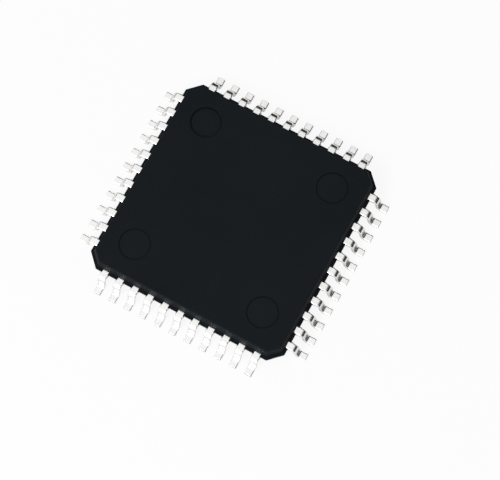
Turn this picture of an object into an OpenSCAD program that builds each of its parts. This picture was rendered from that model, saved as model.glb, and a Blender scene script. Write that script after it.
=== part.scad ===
// Microcontroller in a low-profile quad flat pack with gull-wing leads.
// Millimetres, +Z up. The origin is the centre of the pack on the plane of its feet.
// Lead 1 is beside the marked corner at -X +Y, and the leads count round anticlockwise from above.

/* [Leads] */
// Number of leads on each of the four sides
leads_per_side = 11; // [5:1:13]
// Distance between the centre lines of neighbouring leads
lead_pitch = 0.8; // [0.65:0.05:1.27]
// Width of a lead
lead_width = 0.37; // [0.25:0.01:0.45]
// Thickness of the lead frame's sheet
lead_thickness = 0.15; // [0.1:0.01:0.2]
// Distance from the body's side to the end of a foot
lead_reach = 1.0; // [0.9:0.05:1.6]
// Length of the flat shoulder between the body's side and the upper bend
shoulder_length = 0.26; // [0.2:0.01:0.4]
// Inside radius of both bends
bend_radius = 0.12; // [0.08:0.01:0.16]
// Lean of the leg away from upright, in degrees
leg_lean = 8; // [0:1:15]
// Width of the dam bar that was cut away between the leads
dam_bar_width = 0.12; // [0.08:0.01:0.16]
// Stub of the dam bar left standing on each edge of a lead
dam_bar_stub = 0.03; // [0.01:0.01:0.06]

/* [Body] */
// Distance from the last lead's centre line to the body's side
corner_margin = 1.0; // [0.8:0.05:2]
// Height of the moulded body
body_height = 1.4; // [1:0.05:2]
// Gap between the body's underside and the plane of the feet
standoff = 0.1; // [0.05:0.01:0.25]
// Draft of the body's sides away from the parting plane, in degrees
draft = 12; // [5:1:15]
// Leg of the flat across each corner, at the parting plane
corner_cut = 0.55; // [0.4:0.01:0.8]
// Radius of the body's upper and lower edges
edge_radius = 0.07; // [0.03:0.01:0.12]
// Width of the resin web that fills the gaps between leads out to the dam bar
web_reach = 0.1; // [0.06:0.01:0.18]

/* [Marks in the body] */
// Diameter of the round marks
mark_diameter = 1.45; // [0.8:0.05:1.8]
// Distance from the body's sides to the centre of a mark
mark_inset = 1.65; // [1.3:0.05:2]
// Depth of the ejector marks
mark_depth = 0.03; // [0.02:0.01:0.08]
// Depth of the mark beside lead 1
pin_one_depth = 0.09; // [0.06:0.01:0.15]

/* [Lead frame inside the body] */
// Distance from the body's side to the bend of the fingers in plan
finger_knee = 0.3; // [0.2:0.05:0.5]
// Pitch of the finger tips
finger_tip_pitch = 0.42; // [0.32:0.01:0.5]
// Width of a finger tip
finger_tip_width = 0.2; // [0.12:0.01:0.26]
// Gap between the paddle and the finger tips
finger_gap = 0.4; // [0.2:0.05:0.6]
// Side of the square die paddle
paddle_size = 5.2; // [4.6:0.1:6]
// Drop of the paddle below the leads
paddle_downset = 0.2; // [0.1:0.01:0.3]
// Width of the tie bars that carry the paddle
tie_bar_width = 0.3; // [0.2:0.02:0.4]
// Slope of the tie bars at the downset, in degrees
tie_bar_ramp = 45; // [30:5:60]
// Flat stretch of a tie bar between the paddle's corner and the ramp
tie_bar_lead_in = 0.12; // [0.1:0.01:0.4]

/* [Die and bond wires] */
// Side of the square die
die_size = 4.0; // [3:0.1:4.4]
// Thickness of the die
die_thickness = 0.28; // [0.2:0.01:0.34]
// Thickness of the die attach layer
attach_thickness = 0.03; // [0.02:0.01:0.05]
// How far the die attach layer stands out round the die
attach_margin = 0.06; // [0.02:0.01:0.12]
// Distance from the die's edge to the row of bond pads
pad_inset = 0.12; // [0.08:0.01:0.2]
// Pitch of the bond pads
pad_pitch = 0.3; // [0.2:0.01:0.34]
// Diameter of a bond wire
wire_diameter = 0.03; // [0.02:0.005:0.05]
// Diameter of the ball at the die end of a wire
ball_diameter = 0.08; // [0.06:0.01:0.1]
// Height of the ball
ball_height = 0.02; // [0.01:0.005:0.03]
// Height of a wire's loop above the die
loop_height = 0.15; // [0.1:0.01:0.2]
// Distance from a finger's tip to the end of its wire
stitch_inset = 0.16; // [0.1:0.01:0.3]

/* [Hidden] */
lead_count = 4 * leads_per_side;

// Facets of the bends, the body's edges, the marks and the wires
bend_steps = 6;
edge_steps = 4;
mark_facets = 64;
wire_sides = 6;
wire_steps = 5;
// Room round a wire, and how far its duct runs on into the die and the finger
wire_room = 0.005;
duct_overlap = 0.01;
// A loop's curve rises to this share of its control points, and the second stands at this share of its run
loop_rise = 0.75;
loop_crest = 0.4;

mould_color = [0.106, 0.122, 0.133];
tin_color = [0.86, 0.87, 0.88];
silver_color = [0.80, 0.79, 0.76];
epoxy_color = [0.62, 0.62, 0.60];
silicon_color = [0.40, 0.42, 0.47];
gold_color = [0.90, 0.74, 0.33];

body_size = (leads_per_side - 1) * lead_pitch + 2 * corner_margin;
body_half = body_size / 2;
// Distance from the centre to a corner flat, along the diagonal
corner_half = (body_size - corner_cut) / sqrt(2);
body_top = standoff + body_height;
// The parting plane is the middle plane of the lead frame
parting_z = standoff + body_height / 2;
lead_top = parting_z + lead_thickness / 2;
lead_bottom = parting_z - lead_thickness / 2;

paddle_top = lead_top - paddle_downset;
paddle_bottom = paddle_top - lead_thickness;
attach_top = paddle_top + attach_thickness;
die_top = attach_top + die_thickness;

// Distances of a lead's features from the centre of the pack
finger_tip = paddle_size / 2 + finger_gap;
knee_reach = body_half - finger_knee;
web_edge = body_half + web_reach;
dam_bar_edge = web_edge + dam_bar_width;
shoulder_end = body_half + shoulder_length;
toe = body_half + lead_reach;
// Slabs that are cut to shape reach well past the pack's corners
slab_width = 4 * toe;

function reversed(points) = [for (k = [len(points) - 1 : -1 : 0]) points[k]];

function arc(centre, radius, from, to, steps) =
    [for (k = [0 : steps]) let (a = from + (to - from) * k / steps)
        centre + radius * [cos(a), sin(a)]];

// Place of a lead along its side, and the turn of that side
function lead_offset(i) = ((i - 1) % leads_per_side - (leads_per_side - 1) / 2) * lead_pitch;
function side_turn(i) = 180 + 90 * floor((i - 1) / leads_per_side);
function tip_offset(i) = lead_offset(i) * finger_tip_pitch / lead_pitch;

// Outline of a lead from above, with x outwards and y along its side
function lead_edge(i, hand) =
    let (edge = lead_offset(i) + hand * lead_width / 2, stub = edge + hand * dam_bar_stub)
    [[finger_tip, tip_offset(i) + hand * finger_tip_width / 2],
     [knee_reach, edge],
     [web_edge, edge],
     [web_edge, stub],
     [dam_bar_edge, stub],
     [dam_bar_edge, edge],
     [toe, edge]];

module lead_outline(i) polygon(concat(lead_edge(i, -1), reversed(lead_edge(i, 1))));

// Side view of a lead, with x outwards and y up: shoulder, two bends, leg and foot
module lead_section() {
    outer_radius = bend_radius + lead_thickness;
    mean_radius = bend_radius + lead_thickness / 2;
    upper_z = lead_bottom - bend_radius;
    lower_z = lead_thickness + bend_radius;
    leg = (upper_z - lower_z + 2 * mean_radius * sin(leg_lean)) / cos(leg_lean);
    heel = shoulder_end + 2 * mean_radius * cos(leg_lean) + leg * sin(leg_lean);
    upper = [shoulder_end, upper_z];
    lower = [heel, lower_z];
    top_line = concat(
        [[0, lead_top]],
        arc(upper, outer_radius, 90, leg_lean, bend_steps),
        arc(lower, bend_radius, 180 + leg_lean, 270, bend_steps),
        [[toe, lead_thickness]]);
    under_line = concat(
        [[0, lead_bottom]],
        arc(upper, bend_radius, 90, leg_lean, bend_steps),
        arc(lower, outer_radius, 180 + leg_lean, 270, bend_steps),
        [[toe, 0]]);
    polygon(concat(top_line, reversed(under_line)));
}

// Turns a side view (x outwards, y up) into a slab of a given width about the XZ plane
module upright_slab(width) rotate([90, 0, 0]) linear_extrude(width, center = true) children();

// A lead is its flat blank bent to its side view
module lead(i) {
    color(tin_color) rotate(side_turn(i)) intersection() {
        linear_extrude(body_top) lead_outline(i);
        upright_slab(slab_width) lead_section();
    }
}

// Section of the body across two opposite sides that stand at a given distance at the parting plane
module body_section(reach) {
    run = body_height / 2 * tan(draft);
    centre = [reach - run - edge_radius * (1 - sin(draft)) / cos(draft), body_height / 2 - edge_radius];
    quarter = concat([[reach, 0]], arc(centre, edge_radius, draft, 90, edge_steps));
    right = concat(reversed([for (p = quarter) [p.x, -p.y]]), [for (k = [1 : len(quarter) - 1]) quarter[k]]);
    left = reversed([for (p = right) [-p.x, p.y]]);
    translate([0, parting_z]) polygon(concat(right, left));
}

// Square with cut corners
module cut_square(half, diagonal_half) {
    intersection() {
        square(2 * half, center = true);
        rotate(45) square(2 * diagonal_half, center = true);
    }
}

module moulded_shape() {
    intersection() {
        upright_slab(slab_width) body_section(body_half);
        rotate(90) upright_slab(slab_width) body_section(body_half);
        rotate(45) upright_slab(slab_width) body_section(corner_half);
        rotate(-45) upright_slab(slab_width) body_section(corner_half);
    }
    translate([0, 0, lead_bottom]) linear_extrude(lead_thickness)
        cut_square(web_edge, corner_half + web_reach);
}

// Round recess, cut downwards from its mouth at z = 0
module mark(depth) {
    translate([0, 0, -depth]) linear_extrude(2 * depth)
        polygon(arc([0, 0], mark_diameter / 2, 0, 360 - 360 / mark_facets, mark_facets - 1));
}

module marks() {
    place = body_half - mark_inset;
    for (x = [-1, 1], y = [-1, 1]) {
        depth = x < 0 && y > 0 ? pin_one_depth : mark_depth;
        translate([x * place, y * place, body_top]) mark(depth);
        translate([x * place, y * place, standoff]) mirror([0, 0, 1]) mark(mark_depth);
    }
}

// The mould compound, with its cavities for everything that it holds
module body() {
    color(mould_color) difference() {
        moulded_shape();
        marks();
        for (i = [1 : lead_count]) rotate(side_turn(i))
            translate([0, 0, lead_bottom]) linear_extrude(lead_thickness) lead_outline(i);
        paddle_shape();
        attach_shape();
        die_shape();
        for (i = [1 : lead_count]) wire_frame(i) wire_duct(i);
    }
}

module plate(size, bottom, thickness) {
    translate([-size / 2, -size / 2, bottom]) cube([size, size, thickness]);
}

// Side view of a tie bar along the diagonal, from under the die up to the leads' level
module tie_bar_section() {
    ramp_start = paddle_size / sqrt(2) + tie_bar_lead_in;
    ramp_end = ramp_start + paddle_downset / tan(tie_bar_ramp);
    end = corner_half + web_reach;
    shift = lead_thickness * tan(tie_bar_ramp / 2);
    start = paddle_size / 2;
    polygon([[start, paddle_top], [ramp_start, paddle_top], [ramp_end, lead_top], [end, lead_top],
             [end, lead_bottom], [ramp_end + shift, lead_bottom],
             [ramp_start + shift, paddle_bottom], [start, paddle_bottom]]);
}

module paddle_shape() {
    plate(paddle_size, paddle_bottom, lead_thickness);
    for (corner = [0 : 3]) rotate(45 + 90 * corner) upright_slab(tie_bar_width) tie_bar_section();
}

module attach_shape() plate(die_size + 2 * attach_margin, paddle_top, attach_thickness);

module die_shape() plate(die_size, attach_top, die_thickness);

module die_paddle() color(silver_color) paddle_shape();

module die_attach() color(epoxy_color) attach_shape();

module die() color(silicon_color) die_shape();

// Ends of a wire from above: its pad on the die and its stitch on the finger
function wire_start(i) = [die_size / 2 - pad_inset, lead_offset(i) * pad_pitch / lead_pitch];
function wire_end(i) = let (share = stitch_inset / (knee_reach - finger_tip))
    [finger_tip + stitch_inset, tip_offset(i) + share * (lead_offset(i) - tip_offset(i))];
function wire_run(i) = norm(wire_end(i) - wire_start(i));

// Stands what follows on a wire's pad, with +X towards its finger
module wire_frame(i) {
    run = wire_end(i) - wire_start(i);
    rotate(side_turn(i)) translate(wire_start(i)) rotate(atan2(run.y, run.x)) children();
}

// Middle line of a wire in its own upright plane: straight up off the ball, over and down to the finger
function wire_point(i, t) = let (run = wire_run(i), crest = die_top + loop_height / loop_rise)
    pow(1 - t, 3) * [0, die_top + ball_height] + 3 * t * pow(1 - t, 2) * [0, crest]
    + 3 * t * t * (1 - t) * [loop_crest * run, crest] + t * t * t * [run, lead_top];

// Direction across a wire at a step, level at both of its seats
function wire_across(i, k) = k == 0 ? [-1, 0] : k == wire_steps ? [1, 0]
    : let (way = wire_point(i, (k + 0.5) / wire_steps) - wire_point(i, (k - 0.5) / wire_steps))
        [-way.y, way.x] / norm(way);

function wire_ring(centre, across, radius) =
    [for (s = [0 : wire_sides - 1]) let (a = 360 * s / wire_sides, p = centre + radius * cos(a) * across)
        [p.x, radius * sin(a), p.y]];

// A wire with its ball, as one tube of rings
module wire(i) {
    rings = concat(
        [for (z = [die_top, die_top + ball_height]) wire_ring([0, z], [-1, 0], ball_diameter / 2)],
        [for (k = [0 : wire_steps])
            wire_ring(wire_point(i, k / wire_steps), wire_across(i, k), wire_diameter / 2)]);
    last = len(rings) - 1;
    walls = [for (r = [0 : last - 1], s = [0 : wire_sides - 1]) let (n = (s + 1) % wire_sides)
        [r * wire_sides + s, r * wire_sides + n, (r + 1) * wire_sides + n, (r + 1) * wire_sides + s]];
    foot = [for (s = [wire_sides - 1 : -1 : 0]) s];
    end = [for (s = [0 : wire_sides - 1]) last * wire_sides + s];
    polyhedron([for (ring = rings, p = ring) p], concat([foot], walls, [end]));
}

// Room for a wire in the mould compound
module wire_duct(i) {
    half = wire_diameter / 2 + wire_room;
    line = [for (k = [0 : wire_steps]) wire_point(i, k / wire_steps)];
    down = [0, duct_overlap + ball_height];
    outside = [for (k = [0 : wire_steps]) line[k] + half * wire_across(i, k)];
    inside = [for (k = [0 : wire_steps]) line[k] - half * wire_across(i, k)];
    upright_slab(2 * half) polygon(concat(
        [outside[0] - down], outside, [outside[wire_steps] - down],
        [inside[wire_steps] - down], reversed(inside), [inside[0] - down]));
    translate([0, 0, die_top - duct_overlap])
        cylinder(duct_overlap + ball_height + wire_room, d = ball_diameter + 2 * wire_room,
                 $fn = wire_sides);
}

module bond_wires() color(gold_color) for (i = [1 : lead_count]) wire_frame(i) wire(i);

body();
die_paddle();
die_attach();
die();
bond_wires();
for (i = [1 : lead_count]) lead(i);
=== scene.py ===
"""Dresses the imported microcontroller: formed leads, finishes for every piece, and the stage it is seen on."""
import math

import bmesh
import bpy
from mathutils import Matrix, Vector


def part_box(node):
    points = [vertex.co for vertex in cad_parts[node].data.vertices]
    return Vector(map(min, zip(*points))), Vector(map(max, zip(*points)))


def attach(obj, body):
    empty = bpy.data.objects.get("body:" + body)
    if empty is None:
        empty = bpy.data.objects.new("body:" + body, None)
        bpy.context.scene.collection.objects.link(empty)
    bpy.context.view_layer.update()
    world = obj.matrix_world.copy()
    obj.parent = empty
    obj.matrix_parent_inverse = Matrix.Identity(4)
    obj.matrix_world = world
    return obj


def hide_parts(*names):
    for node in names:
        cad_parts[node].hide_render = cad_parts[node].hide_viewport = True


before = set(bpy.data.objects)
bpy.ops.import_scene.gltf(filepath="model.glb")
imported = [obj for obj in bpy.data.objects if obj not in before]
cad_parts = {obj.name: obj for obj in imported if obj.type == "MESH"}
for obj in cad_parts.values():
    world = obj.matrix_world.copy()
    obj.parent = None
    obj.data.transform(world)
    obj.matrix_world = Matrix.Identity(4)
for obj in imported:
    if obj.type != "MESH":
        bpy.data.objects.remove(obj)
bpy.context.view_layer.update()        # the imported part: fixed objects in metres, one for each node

bl_info = {
    "name": "Quad Flat Pack Microcontroller",
    "version": (1, 0, 0),
    "blender": (4, 5, 0),
    "location": "3D View > Sidebar > Microcontroller",
    "description": "Forms the leads of a quad flat pack, finishes its pieces and sets its stage",
    "category": "Object",
}

MM = 0.001
IMAGE_WIDTH = 500
SENSOR_WIDTH = 36.0
BODY = "root"

LEAD_NODES = sorted((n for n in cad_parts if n.startswith("lead_")), key=lambda n: int(n.split("_")[1]))
LEADS_PER_SIDE = len(LEAD_NODES) // 4
# The middle lead of the side that faces +X lies straight along X
STRAIGHT_LEAD = LEAD_NODES[2 * LEADS_PER_SIDE + LEADS_PER_SIDE // 2]
LAST_LEAD = LEAD_NODES[3 * LEADS_PER_SIDE - 1]
# Faces of a lead that turn by more than this meet in an edge that the stamping left
STAMPED_TURN = math.radians(60)
# A lead's first material is its plating, and its second is for the sheared toe
SHEARED = 1

# Sockets of the Mix node that share their names: each pair that it mixes, and what comes out
VALUE_A, VALUE_B, MIXED_VALUE = 2, 3, 0
COLOUR_A, COLOUR_B, MIXED_COLOUR = 6, 7, 2


def linear(code):
    """Turns an sRGB hex colour into linear RGBA."""
    channels = [int(code[i:i + 2], 16) / 255 for i in (1, 3, 5)]
    return [c / 12.92 if c <= 0.04045 else ((c + 0.055) / 1.055) ** 2.4 for c in channels] + [1.0]


def length(name, description, millimetres):
    """A length property, in metres, with its default in millimetres."""
    return bpy.props.FloatProperty(
        name=name, description=description, default=millimetres * MM, unit="LENGTH", precision=5)


def angle(name, description, degrees):
    """An angle property, in radians, with its default in degrees."""
    return bpy.props.FloatProperty(
        name=name, description=description, default=math.radians(degrees), subtype="ANGLE")


def fraction(name, description, default):
    """A property between nought and one."""
    return bpy.props.FloatProperty(
        name=name, description=description, default=default, subtype="FACTOR", min=0, max=1)


def amount(name, description, default):
    """A property that can't be below nought."""
    return bpy.props.FloatProperty(name=name, description=description, default=default, min=0)


def colour(name, description, code):
    """A colour property with an sRGB hex default."""
    return bpy.props.FloatVectorProperty(
        name=name, description=description, default=linear(code), size=4, subtype="COLOR", min=0, max=1)


class LeadSizes(bpy.types.PropertyGroup):
    """Sizes of a stamped and formed lead."""
    width: length("Width", "Width of a lead", 0.37)
    thickness: length("Thickness", "Thickness of the lead frame's sheet", 0.15)
    edge_radius: length("Edge radius", "Rounding of the stamped edges", 0.055)
    toe_radius: length("Toe radius", "Rounding of the sheared toe's rim", 0.012)
    web_reach: length("Web reach", "Resin web beyond the body's side", 0.1)
    stub: length("Dam bar stub", "Stub of the dam bar on each edge of a lead", 0.03)
    dam_bar: length("Dam bar width", "Width of the dam bar that was cut away", 0.12)
    shoulder: length("Shoulder", "Flat between the body's side and the upper bend", 0.26)
    bend_radius: length("Bend radius", "Inside radius of both bends", 0.12)
    lean: angle("Lean", "Lean of the leg away from upright", 8)
    knee: length("Finger knee", "Distance from the body's side to the bend of the finger in plan", 0.3)
    tip_pitch: length("Tip pitch", "Pitch of the finger tips", 0.42)
    tip_width: length("Tip width", "Width of a finger tip", 0.2)
    bend_steps: bpy.props.IntProperty(
        name="Bend steps", description="Facets along each bend", default=10, min=3, max=32)


class FinishColours(bpy.types.PropertyGroup):
    """Colours of the finishes, and the places of the round marks."""
    compound: colour("Compound", "Black of the moulding compound", "#121619")
    compound_pale: colour("Compound, pale", "Paler flow patches and filler in the compound", "#1b2024")
    # Painted shade: the darker ring round the rim of each pin mark
    mark_ring_shade: colour("Compound, ring shade", "Painted shade round the rims of the pin marks", "#0f1315")
    tin: colour("Tin", "Matte tin plating", "#fbfbf9")
    tin_dull: colour("Tin, dull", "Duller grains of the plating", "#e4e5e4")
    copper: colour("Copper", "Freshly sheared copper alloy", "#a5836f")
    copper_dull: colour("Copper, dull", "Tarnish on the sheared end", "#5f544d")
    tarnish: colour("Tarnish", "Dark copper at the cut ends of the tie bars", "#4a3a31")
    silver: colour("Silver", "Spot plating of the paddle", "#d6d3cb")
    silicon: colour("Silicon", "Polished silicon under its passivation", "#4c5360")
    epoxy: colour("Epoxy", "Silver-filled die attach", "#9a9994")
    gold: colour("Gold", "Drawn gold wire", "#e2b45a")
    mark_place: length("Mark place", "Distance of the round marks from the middle, along X and Y", 3.35)
    mark_diameter: length("Mark diameter", "Diameter of the round marks", 1.45)
    mark_ring: length("Mark ring", "Width of the dark ring round each mark", 0.07)


class StageValues(bpy.types.PropertyGroup):
    """Camera, floor, lamp, and the room that shiny pieces show."""
    azimuth: angle("Azimuth", "Turn of the camera about the vertical", 33)
    elevation: angle("Elevation", "Height of the camera above the horizon", 75.6)
    roll: angle("Roll", "Turn of the camera about its line of sight", 4.3)
    distance: length("Distance", "Distance from the camera to the part along its line of sight", 80.0)
    aside: length("Aside", "Place of the part's origin right of the picture's middle", -0.725)
    below: length("Below", "Place of the part's origin under the picture's middle", -0.74)
    pixels_per_mm: amount("Pixels per mm", "Scale of the picture at the part's origin", 21.29)
    floor_size: length("Floor size", "Half the side of the floor", 400.0)
    floor_gap: length("Floor gap", "Gap between the floor and the feet", 0.01)
    floor_white: fraction("Floor white", "Share of plain white in the floor as the camera sees it", 0.9)
    floor_shine: fraction("Floor shine", "Share of plain white in the floor as shiny pieces show it", 0.35)
    key_distance: length("Key distance", "Distance of the key lamp", 140.0)
    key_size: length("Key size", "Side of the key lamp", 60.0)
    key_azimuth: angle("Key azimuth", "Turn of the key lamp about the vertical", -18)
    key_elevation: angle("Key elevation", "Height of the key lamp above the horizon", 48)
    key_level: amount("Key level", "Share of plain white that the key lamp gives a face turned to it", 0.55)
    ambient: amount("Ambient", "Level of the light from all round", 0.5)
    room: amount("Room", "Level of the room's low walls as shiny pieces show them", 0.02)
    room_azimuth: angle("Room azimuth", "Turn of the room's bright side about the vertical", -20)
    room_lean: amount("Room lean", "How much higher the walls reach away from the bright side", 1.4)
    wall_top: fraction("Wall top", "Sine of the height, before the lean, where the walls begin to pale", 0.3)
    ceiling_edge: fraction("Ceiling edge", "Sine of the height, before the lean, where white begins", 0.5)


def add_node(tree, kind, settings=None, inputs=None):
    """Adds a node, gives it its settings, and sets or links each named input."""
    node = tree.nodes.new(kind)
    for name, value in (settings or {}).items():
        setattr(node, name, value)
    for name, value in (inputs or {}).items():
        if isinstance(value, bpy.types.NodeSocket):
            tree.links.new(value, node.inputs[name])
        else:
            node.inputs[name].default_value = value
    return node


def new_material(name):
    """An empty material with its Principled shader already on the output."""
    material = bpy.data.materials.new(name)
    material.use_nodes = True
    tree = material.node_tree
    return material, tree, tree.nodes["Principled BSDF"]


def dress(node_name, material):
    """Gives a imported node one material."""
    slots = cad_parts[node_name].data.materials
    slots.clear()
    slots.append(material)


def compound_material(finish):
    """Black epoxy moulding compound from a spark-eroded mould: matte, with an even grain and pale filler."""
    material, tree, shader = new_material("epoxy_compound_spark_eroded")
    place = add_node(tree, "ShaderNodeTexCoord").outputs["Object"]

    # Flow patches, where the compound filled the mould
    flow_size = 2.6 * MM
    flow = add_node(tree, "ShaderNodeTexNoise", inputs={
        "Vector": place, "Scale": 1 / flow_size, "Detail": 4.0})
    # Silica filler: grains of about 0.03 mm, drawn coarser so that they show
    filler_size = 0.09 * MM
    filler = add_node(tree, "ShaderNodeTexVoronoi", inputs={"Vector": place, "Scale": 1 / filler_size})
    speck = add_node(tree, "ShaderNodeMapRange", inputs={
        "Value": filler.outputs["Distance"], "From Min": 0.12, "From Max": 0.3,
        "To Min": 0.55, "To Max": 0.0})
    pale = add_node(tree, "ShaderNodeMath", {"operation": "MULTIPLY_ADD", "use_clamp": True}, {
        0: flow.outputs["Fac"], 1: 0.7, 2: speck.outputs["Result"]})
    tone = add_node(tree, "ShaderNodeMix", {"data_type": "RGBA"}, {
        "Factor": pale.outputs["Value"], COLOUR_A: finish.compound, COLOUR_B: finish.compound_pale})

    # The ejector pins leave their round marks smoother than the rest
    mark_radius = finish.mark_diameter / 2
    mark_edge = 0.02 * MM
    aside = add_node(tree, "ShaderNodeVectorMath", {"operation": "MULTIPLY"}, {0: place, 1: (1, 1, 0)})
    quarter = add_node(tree, "ShaderNodeVectorMath", {"operation": "ABSOLUTE"}, {0: aside.outputs["Vector"]})
    reach = add_node(tree, "ShaderNodeVectorMath", {"operation": "DISTANCE"}, {
        0: quarter.outputs["Vector"], 1: (finish.mark_place, finish.mark_place, 0)})
    in_mark = add_node(tree, "ShaderNodeMapRange", inputs={
        "Value": reach.outputs["Value"], "From Min": mark_radius, "From Max": mark_radius + mark_edge,
        "To Min": 0.16, "To Max": 0.0})
    # A darker ring is painted round the rim of each pin mark: painted shade where the recess wall falls into
    # shadow
    ring = add_node(tree, "ShaderNodeMath", {"operation": "COMPARE"}, {
        0: reach.outputs["Value"], 1: mark_radius, 2: finish.mark_ring / 2})
    skin = add_node(tree, "ShaderNodeMix", {"data_type": "RGBA"}, {
        "Factor": ring.outputs["Value"], COLOUR_A: tone.outputs[MIXED_COLOUR],
        COLOUR_B: finish.mark_ring_shade})

    # Spark erosion leaves pits of about 0.03 mm, drawn coarser so that they show
    pit_size = 0.06 * MM
    pit_depth = 0.003 * MM
    pits = add_node(tree, "ShaderNodeTexNoise", inputs={
        "Vector": place, "Scale": 1 / pit_size, "Detail": 2.0, "Roughness": 0.6})
    matte = add_node(tree, "ShaderNodeMapRange", inputs={
        "Value": pits.outputs["Fac"], "From Min": 0.3, "From Max": 0.7, "To Min": 0.56, "To Max": 0.7})
    rough = add_node(tree, "ShaderNodeMath", {"operation": "SUBTRACT"}, {
        0: matte.outputs["Result"], 1: in_mark.outputs["Result"]})
    bump = add_node(tree, "ShaderNodeBump", inputs={
        "Strength": 0.6, "Distance": pit_depth, "Height": pits.outputs["Fac"]})

    tree.links.new(skin.outputs[MIXED_COLOUR], shader.inputs["Base Color"])
    tree.links.new(rough.outputs["Value"], shader.inputs["Roughness"])
    tree.links.new(bump.outputs["Normal"], shader.inputs["Normal"])
    shader.inputs["IOR"].default_value = 1.55
    # The rough filled skin scatters most of the gloss that a clear epoxy would have
    shader.inputs["Specular IOR Level"].default_value = 0.05
    return material


def tin_material(finish):
    """Matte tin, electroplated: pale metal with fine crystal grain, a little duller in patches."""
    material, tree, shader = new_material("tin_electroplated_matte")
    place = add_node(tree, "ShaderNodeTexCoord").outputs["Object"]
    # Plating crystals of about 0.005 mm, drawn coarser so that they show
    crystal_size = 0.04 * MM
    crystal_height = 0.001 * MM
    grain = add_node(tree, "ShaderNodeTexNoise", inputs={
        "Vector": place, "Scale": 1 / crystal_size, "Detail": 3.0})
    # Handling dulls the plating in patches about as wide as a lead
    patch_size = 0.5 * MM
    patches = add_node(tree, "ShaderNodeTexNoise", inputs={
        "Vector": place, "Scale": 1 / patch_size, "Detail": 2.0})
    dull = add_node(tree, "ShaderNodeMath", {"operation": "MULTIPLY"}, {
        0: grain.outputs["Fac"], 1: patches.outputs["Fac"]})
    tone = add_node(tree, "ShaderNodeMix", {"data_type": "RGBA"}, {
        "Factor": dull.outputs["Value"], COLOUR_A: finish.tin, COLOUR_B: finish.tin_dull})
    rough = add_node(tree, "ShaderNodeMapRange", inputs={
        "Value": grain.outputs["Fac"], "From Min": 0.3, "From Max": 0.7, "To Min": 0.2, "To Max": 0.28})
    bump = add_node(tree, "ShaderNodeBump", inputs={
        "Strength": 0.4, "Distance": crystal_height, "Height": grain.outputs["Fac"]})
    tree.links.new(tone.outputs[MIXED_COLOUR], shader.inputs["Base Color"])
    tree.links.new(rough.outputs["Result"], shader.inputs["Roughness"])
    tree.links.new(bump.outputs["Normal"], shader.inputs["Normal"])
    shader.inputs["Metallic"].default_value = 1.0
    return material


def copper_material(finish):
    """Copper alloy, sheared: bare warm metal with upright drag lines and some tin smeared over it."""
    material, tree, shader = new_material("copper_alloy_sheared")
    place = add_node(tree, "ShaderNodeTexCoord").outputs["Object"]
    # Drag lines run up the sheared end, ten times as long as they are wide
    drag_width = 0.03 * MM
    drag_depth = 0.002 * MM
    stretch = add_node(tree, "ShaderNodeMapping", inputs={"Vector": place, "Scale": (1, 1, 0.1)})
    drag = add_node(tree, "ShaderNodeTexNoise", inputs={
        "Vector": stretch.outputs["Vector"], "Scale": 1 / drag_width, "Detail": 2.0})
    bare = add_node(tree, "ShaderNodeMix", {"data_type": "RGBA"}, {
        "Factor": drag.outputs["Fac"], COLOUR_A: finish.copper, COLOUR_B: finish.copper_dull})
    # The shear drags smears of tin down over the copper
    smear_size = 0.1 * MM
    patches = add_node(tree, "ShaderNodeTexNoise", inputs={"Vector": place, "Scale": 1 / smear_size})
    smear = add_node(tree, "ShaderNodeMapRange", inputs={
        "Value": patches.outputs["Fac"], "From Min": 0.5, "From Max": 0.6})
    tone = add_node(tree, "ShaderNodeMix", {"data_type": "RGBA"}, {
        "Factor": smear.outputs["Result"], COLOUR_A: bare.outputs[MIXED_COLOUR], COLOUR_B: finish.tin_dull})
    bump = add_node(tree, "ShaderNodeBump", inputs={
        "Strength": 0.5, "Distance": drag_depth, "Height": drag.outputs["Fac"]})
    tree.links.new(tone.outputs[MIXED_COLOUR], shader.inputs["Base Color"])
    tree.links.new(bump.outputs["Normal"], shader.inputs["Normal"])
    shader.inputs["Metallic"].default_value = 1.0
    shader.inputs["Roughness"].default_value = 0.42
    return material


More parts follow.
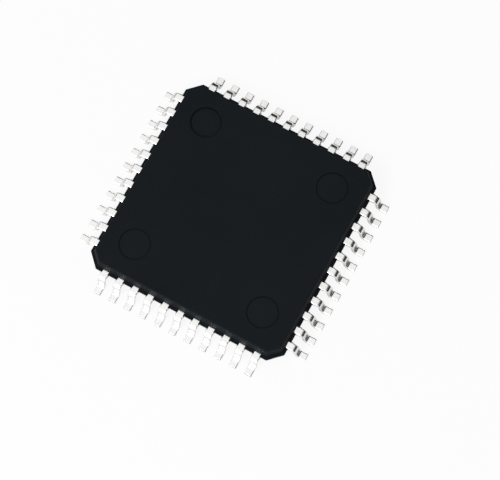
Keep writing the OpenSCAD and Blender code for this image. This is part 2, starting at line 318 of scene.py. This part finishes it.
def silver_material(finish, web_reach):
    """Copper alloy with spot silver plating, pressed: soft pale sheen, black resin bleed on the bar ends."""
    material, tree, shader = new_material("copper_alloy_silver_plated")
    place = add_node(tree, "ShaderNodeTexCoord").outputs["Object"]
    quarter = add_node(tree, "ShaderNodeVectorMath", {"operation": "ABSOLUTE"}, {0: place})
    along = add_node(tree, "ShaderNodeVectorMath", {"operation": "DOT_PRODUCT"}, {
        0: quarter.outputs["Vector"], 1: (1, 1, 0)})
    end = max(abs(v.co.x) + abs(v.co.y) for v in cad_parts["die_paddle"].data.vertices)
    # A film of compound covers the stretch of each tie bar that lies in the resin web
    bled = add_node(tree, "ShaderNodeMath", {"operation": "GREATER_THAN"}, {
        0: along.outputs["Value"], 1: end - 2 * web_reach})
    # The cut end itself is bare
    cut_skin = 0.004 * MM
    cut = add_node(tree, "ShaderNodeMath", {"operation": "GREATER_THAN"}, {
        0: along.outputs["Value"], 1: end - cut_skin})
    film = add_node(tree, "ShaderNodeMath", {"operation": "SUBTRACT"}, {
        0: bled.outputs["Value"], 1: cut.outputs["Value"]})
    metal = add_node(tree, "ShaderNodeMath", {"operation": "SUBTRACT"}, {0: 1.0, 1: film.outputs["Value"]})
    plated = add_node(tree, "ShaderNodeMix", {"data_type": "RGBA"}, {
        "Factor": cut.outputs["Value"], COLOUR_A: finish.silver, COLOUR_B: finish.tarnish})
    tone = add_node(tree, "ShaderNodeMix", {"data_type": "RGBA"}, {
        "Factor": film.outputs["Value"], COLOUR_A: plated.outputs[MIXED_COLOUR], COLOUR_B: finish.compound})
    # Grain of the plating
    grain_size = 0.05 * MM
    grain = add_node(tree, "ShaderNodeTexNoise", inputs={
        "Vector": place, "Scale": 1 / grain_size, "Detail": 3.0})
    rough = add_node(tree, "ShaderNodeMapRange", inputs={
        "Value": grain.outputs["Fac"], "From Min": 0.3, "From Max": 0.7, "To Min": 0.32, "To Max": 0.46})
    tree.links.new(tone.outputs[MIXED_COLOUR], shader.inputs["Base Color"])
    tree.links.new(rough.outputs["Result"], shader.inputs["Roughness"])
    tree.links.new(metal.outputs["Value"], shader.inputs["Metallic"])
    shader.inputs["Specular IOR Level"].default_value = 0.05
    return material


def silicon_material(finish):
    """Silicon, polished and passivated: dark grey-blue mirror with blocks of fine wiring."""
    material, tree, shader = new_material("silicon_polished")
    place = add_node(tree, "ShaderNodeTexCoord").outputs["Object"]
    # Blocks of circuits
    block_size = 0.4 * MM
    blocks = add_node(tree, "ShaderNodeTexVoronoi", {"distance": "CHEBYCHEV"}, {
        "Vector": place, "Scale": 1 / block_size})
    shade = add_node(tree, "ShaderNodeHueSaturation", inputs={
        "Color": finish.silicon, "Value": blocks.outputs["Distance"]})
    tone = add_node(tree, "ShaderNodeMix", {"data_type": "RGBA"}, {
        "Factor": 0.35, COLOUR_A: finish.silicon, COLOUR_B: shade.outputs["Color"]})
    tree.links.new(tone.outputs[MIXED_COLOUR], shader.inputs["Base Color"])
    shader.inputs["Metallic"].default_value = 0.6
    shader.inputs["Roughness"].default_value = 0.12
    return material


def attach_material(finish):
    """Silver-filled epoxy, cured: grey paste with bright flakes."""
    material, tree, shader = new_material("silver_filled_epoxy_cured")
    place = add_node(tree, "ShaderNodeTexCoord").outputs["Object"]
    # Silver flakes
    flake_size = 0.02 * MM
    flakes = add_node(tree, "ShaderNodeTexVoronoi", inputs={"Vector": place, "Scale": 1 / flake_size})
    tone = add_node(tree, "ShaderNodeMix", {"data_type": "RGBA"}, {
        "Factor": flakes.outputs["Distance"], COLOUR_A: finish.silver, COLOUR_B: finish.epoxy})
    tree.links.new(tone.outputs[MIXED_COLOUR], shader.inputs["Base Color"])
    shader.inputs["Metallic"].default_value = 0.5
    shader.inputs["Roughness"].default_value = 0.5
    return material


def gold_material(finish):
    """Gold wire, drawn: smooth warm metal with a faint draw grain."""
    material, tree, shader = new_material("gold_drawn_wire")
    place = add_node(tree, "ShaderNodeTexCoord").outputs["Object"]
    # Grain that the drawing die leaves
    draw_grain = 0.004 * MM
    grain = add_node(tree, "ShaderNodeTexNoise", inputs={"Vector": place, "Scale": 1 / draw_grain})
    rough = add_node(tree, "ShaderNodeMapRange", inputs={
        "Value": grain.outputs["Fac"], "From Min": 0.3, "From Max": 0.7, "To Min": 0.16, "To Max": 0.26})
    tree.links.new(rough.outputs["Result"], shader.inputs["Roughness"])
    shader.inputs["Base Color"].default_value = finish.gold
    shader.inputs["Metallic"].default_value = 1.0
    return material


def push(bm, face, move, width_share=1.0):
    """Extrudes a strip's end face, moves it, and widens it about its own middle."""
    made = bmesh.ops.extrude_face_region(bm, geom=[face, *face.edges, *face.verts])["geom"]
    end = next(g for g in made if isinstance(g, bmesh.types.BMFace))
    bmesh.ops.translate(bm, verts=end.verts, vec=move)
    middle = Matrix.Translation(-end.calc_center_median())
    bmesh.ops.scale(bm, verts=end.verts, vec=(1, width_share, 1), space=middle)
    return end


def bend(bm, face, centre, turn, steps):
    """Bends a strip's end face round a line across the strip, downwards for a positive turn."""
    made = bmesh.ops.spin(bm, geom=[face, *face.edges, *face.verts], cent=centre, axis=(0, 1, 0), angle=turn,
                          steps=steps)
    return next(g for g in made["geom_last"] if isinstance(g, bmesh.types.BMFace))


def lead_strip(bm, sizes, offset):
    """Stamps and forms one lead along +X, at an offset along its side, and returns its sheared toe."""
    thickness = sizes.thickness
    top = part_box(STRAIGHT_LEAD)[1].z
    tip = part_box(STRAIGHT_LEAD)[0].x
    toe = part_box(STRAIGHT_LEAD)[1].x
    web_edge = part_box("body")[1].x
    side = web_edge - sizes.web_reach
    knee = side - sizes.knee
    tip_offset = offset * sizes.tip_pitch / lead_pitch(sizes)
    widened = (sizes.width + 2 * sizes.stub) / sizes.width

    # The strip starts as the end face of its finger, which looks back at the die
    start = bmesh.ops.create_grid(bm, x_segments=1, y_segments=1, size=0.5)["verts"]
    bmesh.ops.scale(bm, verts=start, vec=(thickness, sizes.tip_width, 1))
    bmesh.ops.rotate(bm, verts=start, matrix=Matrix.Rotation(math.radians(90), 3, "Y"))
    bmesh.ops.translate(bm, verts=start, vec=(tip, tip_offset, top - thickness / 2))
    end = bm.faces[:][0]

    # Flat stretch: finger, root in the body, resin web, dam bar stub and shoulder
    end = push(bm, end, (knee - tip, offset - tip_offset, 0), sizes.width / sizes.tip_width)
    end = push(bm, end, (web_edge - knee, 0, 0))
    end = push(bm, end, (sizes.stub, 0, 0), widened)
    end = push(bm, end, (sizes.dam_bar - 2 * sizes.stub, 0, 0))
    end = push(bm, end, (sizes.stub, 0, 0), 1 / widened)
    end = push(bm, end, (sizes.shoulder - sizes.web_reach - sizes.dam_bar, 0, 0))

    # Upper bend, leg, lower bend and foot
    mean_radius = sizes.bend_radius + thickness / 2
    upper = Vector((side + sizes.shoulder, offset, top - thickness - sizes.bend_radius))
    lower_z = thickness + sizes.bend_radius
    drop = upper.z - lower_z + 2 * mean_radius * math.sin(sizes.lean)
    leg = drop / math.cos(sizes.lean)
    heel = upper.x + 2 * mean_radius * math.cos(sizes.lean) + leg * math.sin(sizes.lean)
    turn = math.radians(90) - sizes.lean
    end = bend(bm, end, upper, turn, sizes.bend_steps)
    end = push(bm, end, (leg * math.sin(sizes.lean), 0, -leg * math.cos(sizes.lean)))
    end = bend(bm, end, (heel, offset, lower_z), -turn, sizes.bend_steps)
    return push(bm, end, (toe - heel, 0, 0))


def lead_pitch(sizes):
    """Pitch of the leads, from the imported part's last lead on the side that faces +X."""
    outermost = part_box(LAST_LEAD)[1].y - sizes.stub - sizes.width / 2
    return outermost / ((LEADS_PER_SIDE - 1) / 2)


def round_edges(bm, edges, radius):
    """Rounds edges of a lead."""
    bmesh.ops.bevel(bm, geom=edges, offset=radius, affect="EDGES", segments=2, profile=0.5, material=-1,
                    clamp_overlap=True)


def round_lead(bm, toe, sizes):
    """Rounds a lead's stamped edges, and then more finely the rim of its sheared toe."""
    rim = set(toe.edges)
    stamped = [e for e in bm.edges if e not in rim and e.calc_face_angle() > STAMPED_TURN]
    round_edges(bm, stamped, sizes.edge_radius)
    sheared = [e for e in bm.edges if len({f.material_index for f in e.link_faces}) == 2]
    round_edges(bm, sheared, sizes.toe_radius)


def shade_flats(mesh):
    """Weights the normals by the squares of the faces' areas, so that flats look flat up to their edges."""
    mesh.shade_smooth()
    normals = [Vector() for vertex in mesh.vertices]
    for face in mesh.polygons:
        # In square millimetres, because the squares of areas in square metres are lost to rounding
        area = face.area / MM ** 2
        for index in face.vertices:
            normals[index] += face.normal * area ** 2
    mesh.normals_split_custom_set_from_vertices([normal.normalized() for normal in normals])


class PACK_OT_leads(bpy.types.Operator):
    """Form the gull-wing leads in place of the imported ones, with rounded edges and sheared toes"""
    bl_idname = "pack.leads"
    bl_label = "Leads"

    def execute(self, context):
        sizes = context.scene.lead_sizes
        finish = context.scene.finish_colours
        tin = tin_material(finish)
        copper = copper_material(finish)
        pitch = lead_pitch(sizes)
        for number, node in enumerate(LEAD_NODES):
            side, place = divmod(number, LEADS_PER_SIDE)
            bm = bmesh.new()
            toe = lead_strip(bm, sizes, (place - (LEADS_PER_SIDE - 1) / 2) * pitch)
            toe.material_index = SHEARED
            round_lead(bm, toe, sizes)
            # The first side faces -X, and the others follow anticlockwise
            turn = Matrix.Rotation(math.radians(180 + 90 * side), 3, "Z")
            bmesh.ops.rotate(bm, verts=bm.verts[:], matrix=turn)
            bmesh.ops.recalc_face_normals(bm, faces=bm.faces[:])
            mesh = bpy.data.meshes.new(f"formed_{node}")
            bm.to_mesh(mesh)
            bm.free()
            shade_flats(mesh)
            mesh.materials.append(tin)
            mesh.materials.append(copper)
            piece = bpy.data.objects.new(mesh.name, mesh)
            context.scene.collection.objects.link(piece)
            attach(piece, BODY)
            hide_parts(node)
        return {"FINISHED"}


class PACK_OT_body(bpy.types.Operator):
    """Finish the moulded body"""
    bl_idname = "pack.body"
    bl_label = "Moulded body"

    def execute(self, context):
        dress("body", compound_material(context.scene.finish_colours))
        return {"FINISHED"}


class PACK_OT_inner_pieces(bpy.types.Operator):
    """Finish the paddle, the die, its attach layer and the bond wires"""
    bl_idname = "pack.inner_pieces"
    bl_label = "Inner pieces"

    def execute(self, context):
        finish = context.scene.finish_colours
        dress("die_paddle", silver_material(finish, context.scene.lead_sizes.web_reach))
        dress("die_attach", attach_material(finish))
        dress("die", silicon_material(finish))
        dress("bond_wires", gold_material(finish))
        return {"FINISHED"}


def floor_material(stage):
    """Matte white card: it takes the shadow, and the camera sees it nearly plain white."""
    material, tree, shader = new_material("card_matte_white")
    shader.inputs["Base Color"].default_value = linear("#f4f4f4")
    shader.inputs["Roughness"].default_value = 0.9
    shader.inputs["Specular IOR Level"].default_value = 0.1
    ray = add_node(tree, "ShaderNodeLightPath").outputs
    seen = add_node(tree, "ShaderNodeMath", {"operation": "MAXIMUM"}, {
        0: ray["Is Camera Ray"], 1: ray["Is Transmission Ray"]})
    shown = add_node(tree, "ShaderNodeMath", {"operation": "MULTIPLY"}, {
        0: ray["Is Glossy Ray"], 1: stage.floor_shine})
    share = add_node(tree, "ShaderNodeMath", {"operation": "MULTIPLY_ADD"}, {
        0: seen.outputs["Value"], 1: stage.floor_white, 2: shown.outputs["Value"]})
    white = add_node(tree, "ShaderNodeEmission", inputs={"Color": linear("#ffffff"), "Strength": 1.0})
    mix = add_node(tree, "ShaderNodeMixShader", inputs={
        0: share.outputs["Value"], 1: shader.outputs["BSDF"], 2: white.outputs["Emission"]})
    tree.links.new(mix.outputs["Shader"], tree.nodes["Material Output"].inputs["Surface"])
    return material


def white_world(stage):
    """White all round for the camera; shiny pieces show a white ceiling over the dark low walls of a room."""
    world = bpy.data.worlds.new("studio")
    world.use_nodes = True
    tree = world.node_tree
    background = tree.nodes["Background"]
    ray = add_node(tree, "ShaderNodeLightPath").outputs
    way = add_node(tree, "ShaderNodeTexCoord").outputs["Generated"]
    # On the room's bright side the white reaches down to the floor, and on the other the walls rise higher
    lean = Vector((math.sin(stage.room_azimuth), -math.cos(stage.room_azimuth), 0)) * stage.room_lean
    upright = Vector((0, 0, 1))
    height = add_node(tree, "ShaderNodeVectorMath", {"operation": "DOT_PRODUCT"}, {0: way, 1: upright + lean})
    ceiling = add_node(tree, "ShaderNodeMapRange", {"interpolation_type": "SMOOTHSTEP"}, {
        "Value": height.outputs["Value"], "From Min": stage.wall_top, "From Max": stage.ceiling_edge})
    shiny = add_node(tree, "ShaderNodeMath", {"operation": "MULTIPLY"}, {
        0: ray["Is Glossy Ray"], 1: ceiling.outputs["Result"]})
    seen = add_node(tree, "ShaderNodeMath", {"operation": "MAXIMUM"}, {
        0: ray["Is Camera Ray"], 1: ray["Is Transmission Ray"]})
    plain = add_node(tree, "ShaderNodeMath", {"operation": "MAXIMUM"}, {
        0: seen.outputs["Value"], 1: shiny.outputs["Value"]})
    dim = add_node(tree, "ShaderNodeMix", {"data_type": "FLOAT"}, {
        "Factor": ray["Is Glossy Ray"], VALUE_A: stage.ambient, VALUE_B: stage.room})
    level = add_node(tree, "ShaderNodeMix", {"data_type": "FLOAT"}, {
        "Factor": plain.outputs["Value"], VALUE_A: dim.outputs[MIXED_VALUE], VALUE_B: 1.0})
    background.inputs["Color"].default_value = linear("#ffffff")
    tree.links.new(level.outputs[MIXED_VALUE], background.inputs["Strength"])
    return world


def key_lamp(stage):
    """Large soft lamp that looks at the part from the side of its near left leads."""
    lamp = bpy.data.lights.new("key", "AREA")
    lamp.size = stage.key_size
    # Lights a face turned to it to the given share of white
    lamp.energy = stage.key_level * math.pi ** 2 * stage.key_distance ** 2
    flat = math.cos(stage.key_elevation)
    away = Vector((math.sin(stage.key_azimuth) * flat, -math.cos(stage.key_azimuth) * flat,
                   math.sin(stage.key_elevation)))
    key = bpy.data.objects.new("key", lamp)
    facing = away.to_track_quat("Z", "Y").to_matrix().to_4x4()
    key.matrix_world = Matrix.Translation(away * stage.key_distance) @ facing
    return key


def picture_camera(stage):
    """Camera that sees the part as the photograph does."""
    azimuth = stage.azimuth
    elevation = stage.elevation
    ahead = Vector((-math.sin(azimuth) * math.cos(elevation), math.cos(azimuth) * math.cos(elevation),
                    -math.sin(elevation)))
    level = Vector((math.cos(azimuth), math.sin(azimuth), 0))
    down = ahead.cross(level)
    right = level * math.cos(stage.roll) + down * math.sin(stage.roll)
    down = down * math.cos(stage.roll) - level * math.sin(stage.roll)
    data = bpy.data.cameras.new("picture")
    data.sensor_width = SENSOR_WIDTH
    data.lens = stage.pixels_per_mm * stage.distance / MM * SENSOR_WIDTH / IMAGE_WIDTH
    # Well short of the part
    data.clip_start = stage.distance / 100
    camera = bpy.data.objects.new("picture", data)
    place = -(right * stage.aside + down * stage.below + ahead * stage.distance)
    camera.matrix_world = Matrix.Translation(place) @ Matrix((right, -down, -ahead)).transposed().to_4x4()
    return camera


class PACK_OT_stage(bpy.types.Operator):
    """Set the floor, the lamp, the white surroundings and the camera"""
    bl_idname = "pack.stage"
    bl_label = "Stage"

    def execute(self, context):
        scene = context.scene
        stage = scene.stage_values
        bm = bmesh.new()
        bmesh.ops.create_grid(bm, x_segments=1, y_segments=1, size=stage.floor_size,
                              matrix=Matrix.Translation((0, 0, -stage.floor_gap)))
        mesh = bpy.data.meshes.new("floor")
        bm.to_mesh(mesh)
        bm.free()
        mesh.materials.append(floor_material(stage))
        floor = bpy.data.objects.new("floor", mesh)
        camera = picture_camera(stage)
        for thing in (floor, camera, key_lamp(stage)):
            scene.collection.objects.link(thing)
        scene.world = white_world(stage)
        scene.camera = camera
        scene.view_settings.view_transform = "Standard"
        return {"FINISHED"}


class PACK_PT_sidebar(bpy.types.Panel):
    """Lists the steps that dress the microcontroller"""
    bl_idname = "PACK_PT_sidebar"
    bl_label = "Microcontroller"
    bl_space_type = "VIEW_3D"
    bl_region_type = "UI"
    bl_category = "Microcontroller"

    def draw(self, context):
        for operator in OPERATORS:
            self.layout.operator(operator.bl_idname)


OPERATORS = (PACK_OT_body, PACK_OT_leads, PACK_OT_inner_pieces, PACK_OT_stage)
GROUPS = {"lead_sizes": LeadSizes, "finish_colours": FinishColours, "stage_values": StageValues}


def register():
    for cls in (*GROUPS.values(), *OPERATORS, PACK_PT_sidebar):
        bpy.utils.register_class(cls)
    for name, group in GROUPS.items():
        setattr(bpy.types.Scene, name, bpy.props.PointerProperty(type=group))


def unregister():
    for name in GROUPS:
        delattr(bpy.types.Scene, name)
    for cls in reversed((*GROUPS.values(), *OPERATORS, PACK_PT_sidebar)):
        bpy.utils.unregister_class(cls)


def main():
    register()
    bpy.ops.pack.body()
    bpy.ops.pack.leads()
    bpy.ops.pack.inner_pieces()
    bpy.ops.pack.stage()


if __name__ == "__main__":
    main()
